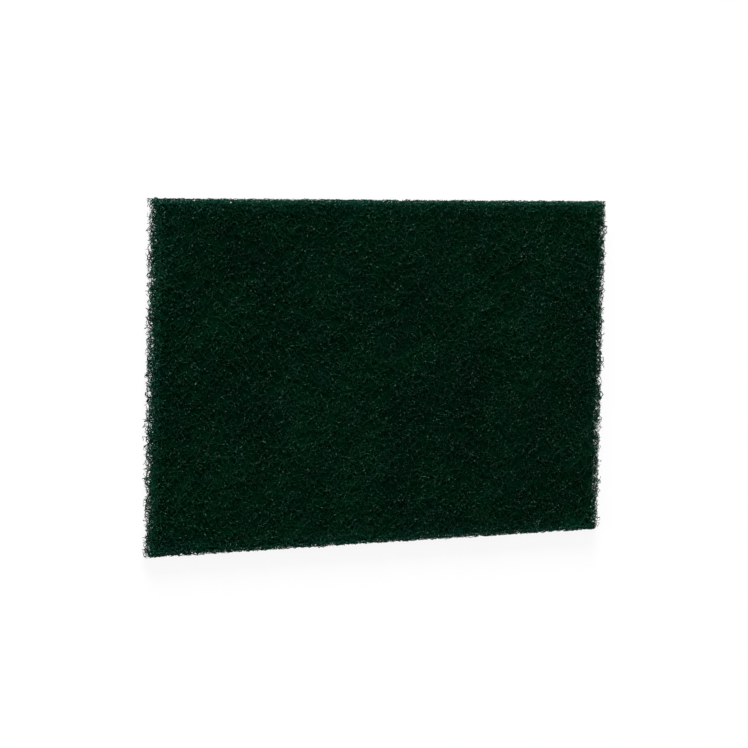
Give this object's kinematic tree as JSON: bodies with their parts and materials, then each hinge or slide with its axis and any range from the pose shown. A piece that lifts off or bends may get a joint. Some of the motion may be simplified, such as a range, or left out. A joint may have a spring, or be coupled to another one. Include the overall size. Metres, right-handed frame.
{
  "type": "nylon scouring pad",
  "caption": "Flat rectangular scouring pad of open, non-woven nylon web, bonded with dark green resin and grit, for scrubbing pans and worktops by hand.",
  "frame": {"origin": "middle of the underside, on the surface that the pad lies on", "axes": "+X along the long side, +Y along the short side, +Z out of the upper face"},
  "size_m": [0.229, 0.152, 0.008],
  "materials": {
    "bonded_web": "matt, open and fibrous, dark green resin and fine mineral grit over nylon fibre"
  },
  "bodies": {
    "root": {"scouring_pad": "bonded_web"}
  },
  "joints": []
}
